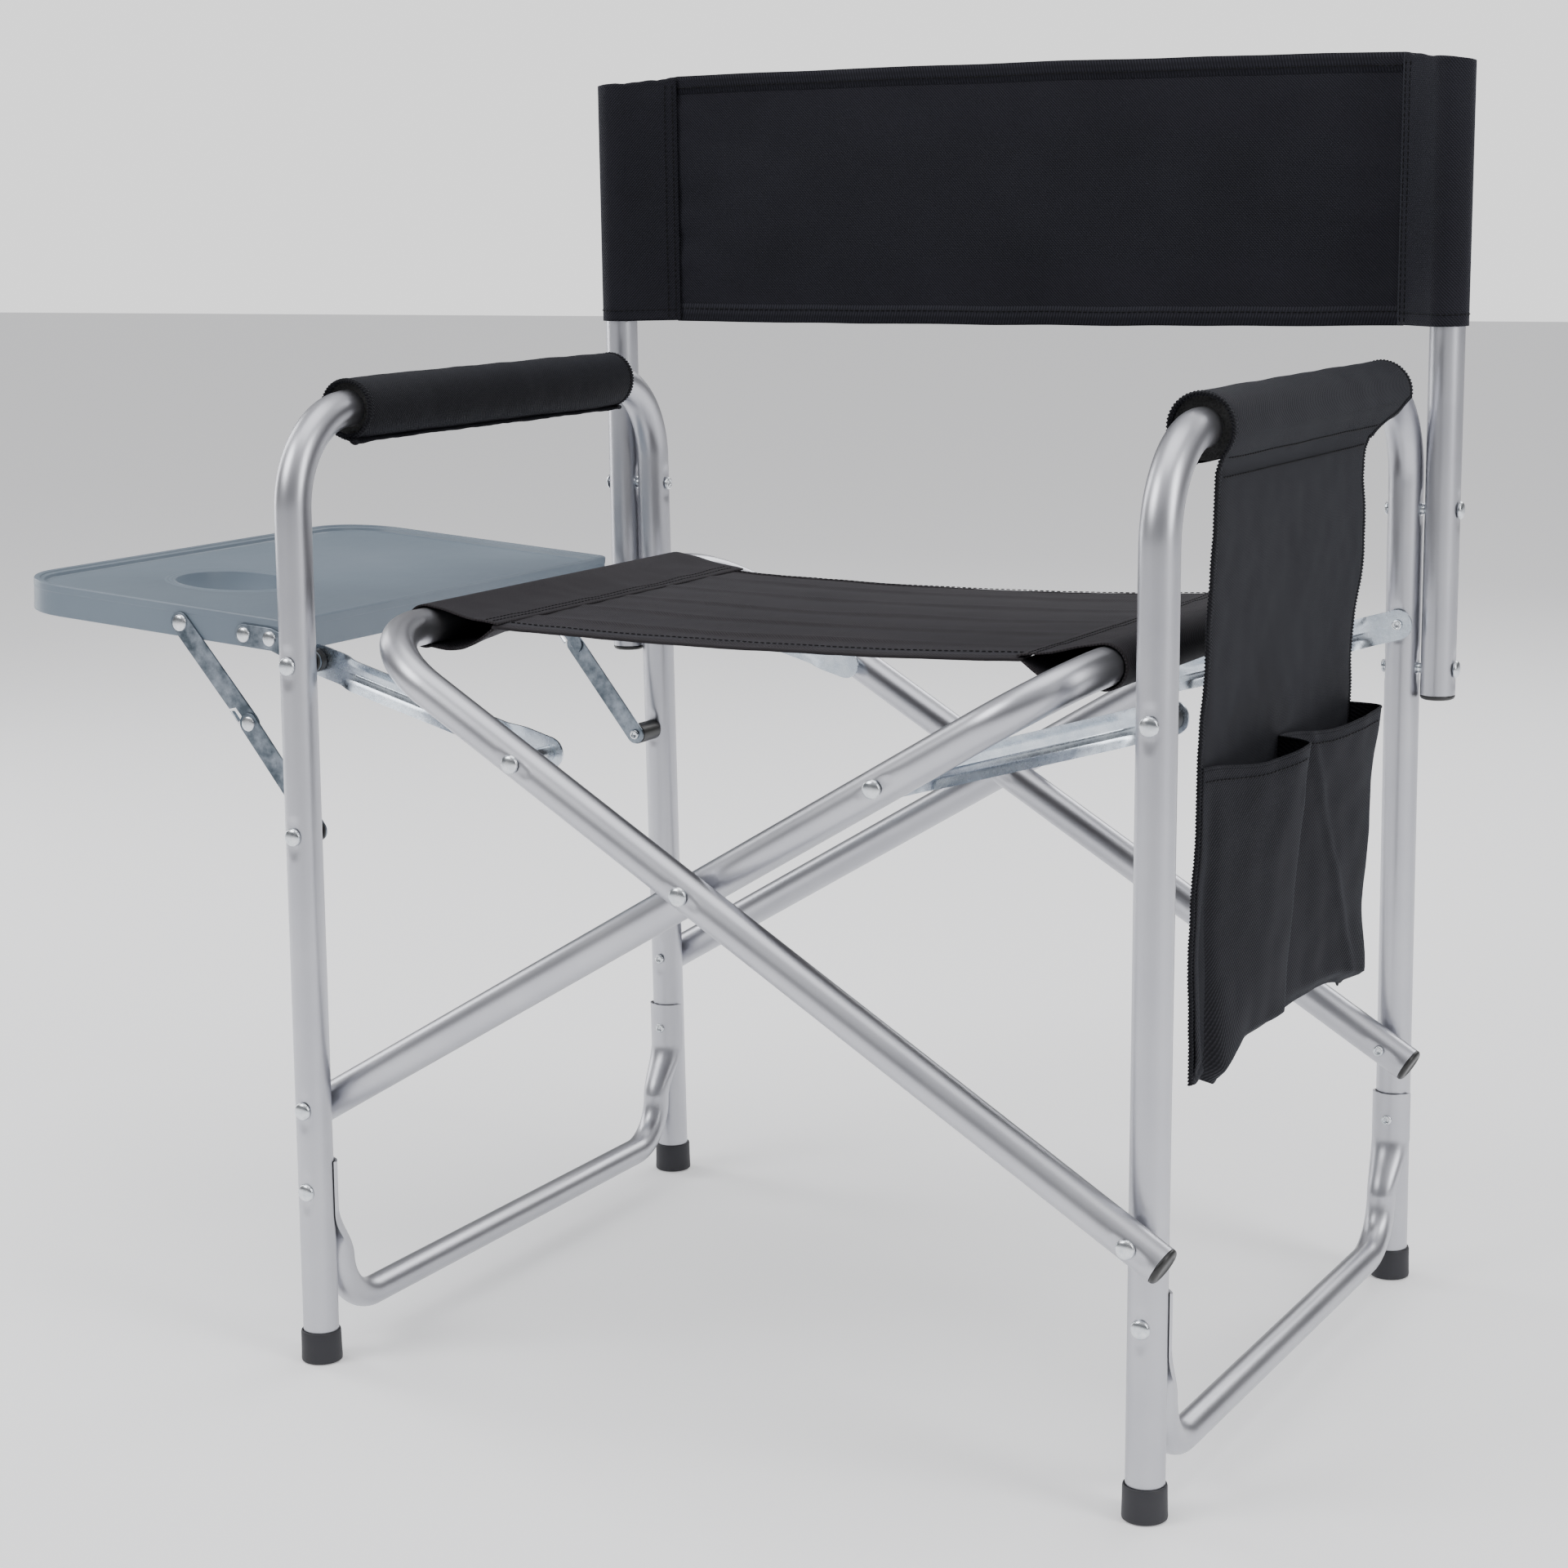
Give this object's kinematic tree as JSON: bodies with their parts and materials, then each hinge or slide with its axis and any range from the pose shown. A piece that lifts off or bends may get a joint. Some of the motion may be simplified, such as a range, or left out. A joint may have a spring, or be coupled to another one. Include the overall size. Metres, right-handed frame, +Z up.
{
  "type": "folding director chair",
  "caption": "Folding director chair: tube arm frames, scissor seat tubes, fabric seat and back, fold-down side table with a cup hole, hanging organizer.",
  "frame": {"origin": "on the floor, under the middle of the whole object's box with the table up, which lies 100.2 mm to the table side of the middle of the chair", "axes": "+Z up, the front of the chair faces -Y, +X towards the organizer side, away from the side table"},
  "size_m": [0.8221, 0.5058, 0.783],
  "materials": {
    "tube_aluminium": "satin anodised tube",
    "zinc_steel": "bright zinc plate with blue mottling",
    "foot_rubber": "moulded matte rubber",
    "table_plastic": "moulded blue-grey plastic, fine satin",
    "black_plastic": "moulded black plastic",
    "seat_fabric": "charcoal twill polyester",
    "back_fabric": "charcoal twill polyester",
    "bag_fabric": "black twill polyester"
  },
  "bodies": {
    "right_frame": {"right_arm_frame": "tube_aluminium", "right_front_foot": "foot_rubber", "right_rear_foot": "foot_rubber", "right_lower_rail": "tube_aluminium", "right_back_post": "tube_aluminium", "right_post_plug": "black_plastic", "right_upper_post_bolt": "zinc_steel", "right_lower_post_bolt": "zinc_steel", "right_front_seat_rivet": "zinc_steel", "right_rear_seat_rivet": "zinc_steel", "right_front_strut_rivet": "zinc_steel", "right_rear_strut_rivet": "zinc_steel", "right_arm_pad": "bag_fabric", "right_back_sleeve": "back_fabric", "organizer": "bag_fabric", "back_panel": "back_fabric"},
    "scissor_a": {"seat_tube_a": "tube_aluminium", "seat_tube_a_front_plug": "black_plastic", "seat_tube_a_rear_plug": "black_plastic", "seat_tube_a_front_strut_rivet": "zinc_steel", "seat_tube_a_rear_strut_rivet": "zinc_steel", "front_crossing_rivet": "zinc_steel", "rear_crossing_rivet": "zinc_steel", "left_seat_sleeve": "seat_fabric", "seat_panel": "seat_fabric"},
    "scissor_b": {"seat_tube_b": "tube_aluminium", "seat_tube_b_front_plug": "black_plastic", "seat_tube_b_rear_plug": "black_plastic", "seat_tube_b_front_strut_rivet": "zinc_steel", "seat_tube_b_rear_strut_rivet": "zinc_steel", "right_seat_sleeve": "seat_fabric"},
    "left_frame": {"left_arm_frame": "tube_aluminium", "left_front_foot": "foot_rubber", "left_rear_foot": "foot_rubber", "left_lower_rail": "tube_aluminium", "left_back_post": "tube_aluminium", "left_post_plug": "black_plastic", "left_upper_post_bolt": "zinc_steel", "left_lower_post_bolt": "zinc_steel", "left_front_seat_rivet": "zinc_steel", "left_rear_seat_rivet": "zinc_steel", "left_front_strut_rivet": "zinc_steel", "left_rear_strut_rivet": "zinc_steel", "front_brace_rivet": "zinc_steel", "rear_brace_rivet": "zinc_steel", "left_arm_pad": "bag_fabric", "left_back_sleeve": "back_fabric"},
    "left_struts": {"left_front_strut": "zinc_steel", "left_rear_strut": "zinc_steel"},
    "right_struts": {"right_front_strut": "zinc_steel", "right_rear_strut": "zinc_steel"},
    "table": {"side_table": "table_plastic", "front_table_strip": "zinc_steel", "rear_table_strip": "zinc_steel"},
    "lower_braces": {"front_lower_brace": "zinc_steel", "rear_lower_brace": "zinc_steel", "front_brace_mid_rivet": "zinc_steel", "rear_brace_mid_rivet": "zinc_steel"},
    "upper_braces": {"front_upper_brace": "zinc_steel", "rear_upper_brace": "zinc_steel"}
  },
  "joints": [
    {"name": "fold", "type": "hinge", "parent": "right_frame", "child": "scissor_a", "pos_m": [0.373, 0, 0.1614], "axis": [0, 1, 0], "range_deg": [0, 46.32], "deforming": ["seat_panel", "back_panel"]},
    {"name": "crossing", "type": "hinge", "parent": "scissor_a", "child": "scissor_b", "pos_m": [0.1002, 0, 0.3227], "axis": [0, 1, 0], "range_deg": [-92.64, 0]},
    {"name": "left_leg_pivot", "type": "hinge", "parent": "scissor_b", "child": "left_frame", "pos_m": [-0.1726, 0, 0.1614], "axis": [0, 1, 0], "range_deg": [0, 46.32]},
    {"name": "left_strut_pivot", "type": "hinge", "parent": "left_frame", "child": "left_struts", "pos_m": [-0.1726, 0, 0.4343], "axis": [0, 1, 0], "range_deg": [-91.15, 0]},
    {"name": "right_strut_pivot", "type": "hinge", "parent": "right_frame", "child": "right_struts", "pos_m": [0.373, 0, 0.4343], "axis": [0, 1, 0], "range_deg": [0, 91.15]},
    {"name": "table_fold", "type": "hinge", "parent": "left_frame", "child": "table", "pos_m": [-0.1726, 0, 0.4343], "axis": [0, -1, 0], "range_deg": [0, 90]},
    {"name": "lower_brace_pivot", "type": "hinge", "parent": "left_frame", "child": "lower_braces", "pos_m": [-0.1726, 0, 0.3312], "axis": [0, -1, 0], "range_deg": [0, 117.9]},
    {"name": "brace_knee", "type": "hinge", "parent": "lower_braces", "child": "upper_braces", "pos_m": [-0.2208, 0, 0.3933], "axis": [0, -1, 0], "range_deg": [-168.8, 0]}
  ],
  "couplings": [
    {"joint": "crossing", "follows": "fold", "ratio": -2},
    {"joint": "left_leg_pivot", "follows": "fold", "ratio": 1},
    {"joint": "left_strut_pivot", "follows": "fold", "ratio": -1.9675},
    {"joint": "right_strut_pivot", "follows": "fold", "ratio": 1.9675},
    {"joint": "lower_brace_pivot", "follows": "table_fold", "ratio": 1.309},
    {"joint": "brace_knee", "follows": "table_fold", "ratio": -1.8742}
  ]
}
